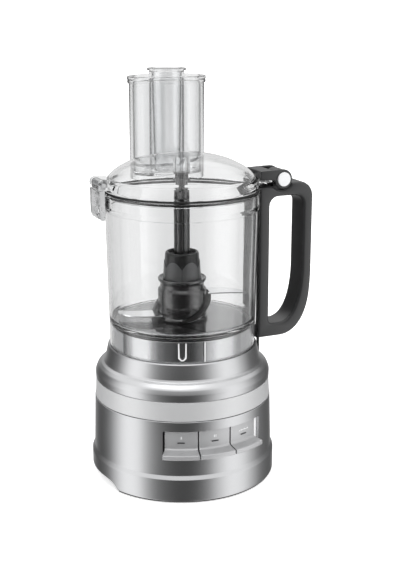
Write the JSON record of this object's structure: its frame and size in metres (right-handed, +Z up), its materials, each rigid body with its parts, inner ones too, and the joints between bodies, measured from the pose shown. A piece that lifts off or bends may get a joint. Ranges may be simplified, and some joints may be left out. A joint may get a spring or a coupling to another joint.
{
  "type": "food processor",
  "caption": "Kitchen food processor: motor base with three push buttons, clear bowl with loop handle, blade tool, hinged domed lid with latch, feed tube and nested pushers.",
  "frame": {"origin": "centre of the bounding box in plan, on the table plane under the feet", "axes": "+Z up along the drive axis, -Y towards the push buttons, +X towards the bowl handle"},
  "size_m": [0.2382, 0.1998, 0.4168],
  "materials": {
    "silver_paint": "silver metallic paint, satin",
    "band_grey": "light grey satin moulding",
    "button_grey": "grey metallic moulding, satin",
    "clear_plastic": "clear polished copolyester",
    "dark_plastic": "dark grey fine-grained moulding",
    "black_plastic": "black semi-gloss moulding",
    "rubber": "black soft rubber",
    "steel": "turned steel",
    "blade_steel": "ground stainless steel",
    "copper": "lacquered copper winding",
    "board": "green circuit board"
  },
  "bodies": {
    "root": {"base_housing": "silver_paint", "trim_band": "band_grey", "top_cover": "silver_paint", "bottom_plate": "black_plastic", "foot_1": "rubber", "foot_2": "rubber", "foot_3": "rubber", "foot_4": "rubber", "base_screw_1": "steel", "base_screw_2": "steel", "base_screw_3": "steel", "base_screw_4": "steel", "cord_inlet": "rubber", "motor_can": "steel", "lower_bearing": "steel", "upper_bearing": "steel", "shaft_seal": "rubber", "drive_belt": "rubber", "button_spring_1": "steel", "button_spring_2": "steel", "button_spring_3": "steel", "control_board": "board", "interlock_switch": "black_plastic"},
    "spindle": {"drive_spindle": "steel", "spindle_pulley": "dark_plastic", "spindle_coupling": "steel"},
    "rotor": {"motor_rotor": "copper", "motor_pulley": "steel"},
    "button_left": {"button_1": "button_grey", "button_mark_1": "black_plastic"},
    "button_middle": {"button_2": "button_grey", "button_mark_2": "black_plastic"},
    "button_right": {"button_3": "button_grey", "button_mark_3": "black_plastic"},
    "bowl_assembly": {"bowl": "clear_plastic", "handle": "dark_plastic", "bowl_catch": "black_plastic", "rod_spring": "steel"},
    "interlock": {"interlock_rod": "black_plastic"},
    "blade_tool": {"blade_hub": "black_plastic", "hub_cap": "dark_plastic", "blade_lower": "blade_steel", "blade_upper": "blade_steel", "stem": "dark_plastic", "stem_spool": "black_plastic"},
    "lid_assembly": {"lid": "clear_plastic", "lid_seal": "rubber", "lid_bearing": "black_plastic", "lid_arm": "dark_plastic", "hinge_pin": "steel", "pin_cap_front": "silver_paint", "pin_cap_rear": "silver_paint", "latch_pin": "steel"},
    "latch": {"latch_lever": "clear_plastic"},
    "big_pusher": {"large_pusher": "clear_plastic"},
    "inner_pusher": {"small_pusher": "clear_plastic"}
  },
  "joints": [
    {"name": "spindle_spin", "type": "hinge", "parent": "root", "child": "spindle", "pos_m": [-0.02362, 0.00052, 0.02], "axis": [0, 0, 1], "continuous": true},
    {"name": "rotor_spin", "type": "hinge", "parent": "root", "child": "rotor", "pos_m": [-0.02362, 0.04652, 0.02], "axis": [0, 0, 1], "continuous": true},
    {"name": "button_left_press", "type": "slide", "parent": "root", "child": "button_left", "axis": [0.3746, 0.9272, 0], "range_m": [0, 0.0025], "stiffness_N_per_m": 500, "springref_m": -0.002, "deforming": ["button_spring_1"]},
    {"name": "button_middle_press", "type": "slide", "parent": "root", "child": "button_middle", "axis": [0, 1, 0], "range_m": [0, 0.0025], "stiffness_N_per_m": 500, "springref_m": -0.002, "deforming": ["button_spring_2"]},
    {"name": "button_right_press", "type": "slide", "parent": "root", "child": "button_right", "axis": [-0.3746, 0.9272, 0], "range_m": [0, 0.0025], "stiffness_N_per_m": 500, "springref_m": -0.002, "deforming": ["button_spring_3"]},
    {"name": "bowl_lift", "type": "slide", "parent": "root", "child": "bowl_assembly", "axis": [0, 0, 1], "range_m": [0, 0.15]},
    {"name": "tool_spin", "type": "hinge", "parent": "bowl_assembly", "child": "blade_tool", "pos_m": [-0.02362, 0.00052, 0.2], "axis": [0, 0, 1], "continuous": true},
    {"name": "lid_hinge", "type": "hinge", "parent": "bowl_assembly", "child": "lid_assembly", "pos_m": [0.08238, 0.00052, 0.3046], "axis": [0, 1, 0], "range_deg": [0, 95]},
    {"name": "interlock_slide", "type": "slide", "parent": "bowl_assembly", "child": "interlock", "axis": [0, 0, 1], "range_m": [0, 0.004], "deforming": ["rod_spring"]},
    {"name": "latch_swing", "type": "hinge", "parent": "lid_assembly", "child": "latch", "pos_m": [-0.11012, 0.00052, 0.3105], "axis": [0, 1, 0], "range_deg": [0, 35], "stiffness_Nm_per_rad": 0.05, "springref_deg": -20.05},
    {"name": "large_pusher_slide", "type": "slide", "parent": "lid_assembly", "child": "big_pusher", "axis": [0, 0, 1], "range_m": [0, 0.1]},
    {"name": "small_pusher_slide", "type": "slide", "parent": "big_pusher", "child": "inner_pusher", "axis": [0, 0, 1], "range_m": [0, 0.105]}
  ],
  "couplings": [
    {"joint": "rotor_spin", "follows": "spindle_spin", "ratio": 3.7778},
    {"joint": "tool_spin", "follows": "spindle_spin", "ratio": 1},
    {"joint": "interlock_slide", "follows": "lid_hinge", "m_per_rad": 0.0021}
  ]
}
